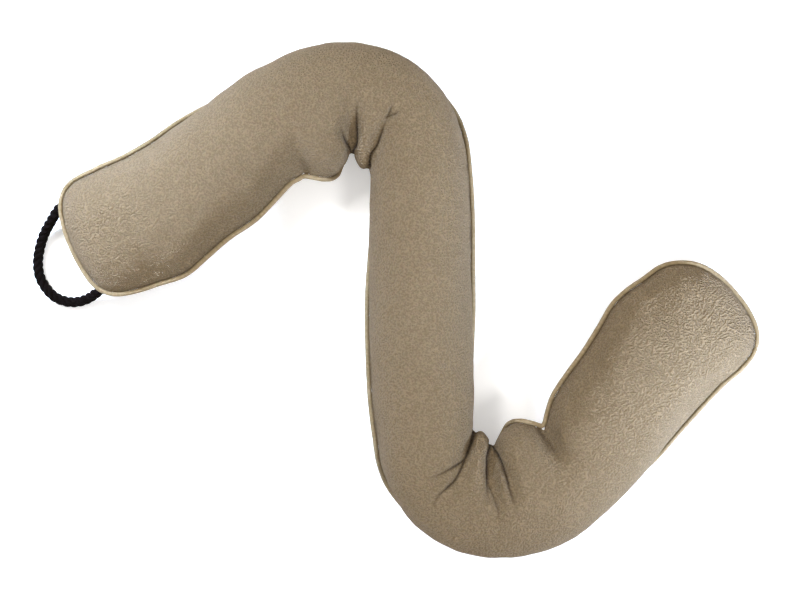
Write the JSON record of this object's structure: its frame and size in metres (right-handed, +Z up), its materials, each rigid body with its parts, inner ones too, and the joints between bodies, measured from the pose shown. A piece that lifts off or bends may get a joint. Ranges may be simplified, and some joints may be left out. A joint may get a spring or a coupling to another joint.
{
  "type": "draught excluder",
  "caption": "Filled fleece tube that closes the gap under a door, folded into an S, with piping in its seam and a rope loop at one end.",
  "frame": {"origin": "on the floor, under the middle of the outline of the tube and its piping, the rope loop left out", "axes": "+Z up off the floor, +X to the side away from the rope loop, +Y to the outside of the first bend after the rope loop"},
  "size_m": [0.6229, 0.4401, 0.08],
  "materials": {
    "fleece": "short curled nap",
    "piping": "smooth knit over a cord",
    "rope": "three twisted strands"
  },
  "bodies": {
    "root": {"filled_cover": "fleece", "edge_piping_a": "piping", "edge_piping_b": "piping", "rope_loop": "rope"}
  },
  "joints": []
}
